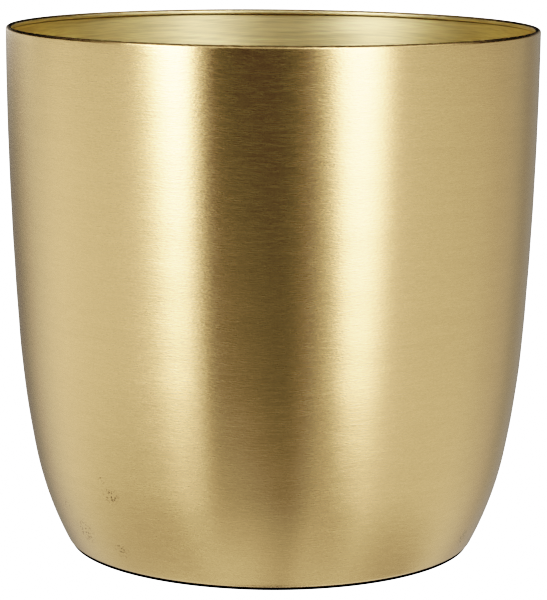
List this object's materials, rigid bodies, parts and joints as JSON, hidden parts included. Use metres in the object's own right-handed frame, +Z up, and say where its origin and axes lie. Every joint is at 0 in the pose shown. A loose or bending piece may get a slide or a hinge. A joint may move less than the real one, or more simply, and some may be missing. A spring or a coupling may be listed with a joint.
{
  "type": "planter pot",
  "caption": "Round sheet-metal planter pot with a brushed brass finish, slightly tapered curved sides, a flat base and a narrow rolled rim, open at the top.",
  "frame": {"origin": "centre of the plane that the pot stands on, under its axis", "axes": "+Z up along the pot's axis, from the base to the open rim; the pot is round, so +X and +Y are any two sides, with the pads halfway between them"},
  "size_m": [0.26, 0.26, 0.256],
  "materials": {
    "brushed_brass": "fine circumferential brushing under clear lacquer, satin",
    "wire_steel": "drawn wire, dull",
    "pad_rubber": "matte foam rubber"
  },
  "bodies": {
    "root": {"pot_shell": "brushed_brass", "rim_wire": "wire_steel", "foot_pad_1": "pad_rubber", "foot_pad_2": "pad_rubber", "foot_pad_3": "pad_rubber", "foot_pad_4": "pad_rubber"}
  },
  "joints": []
}
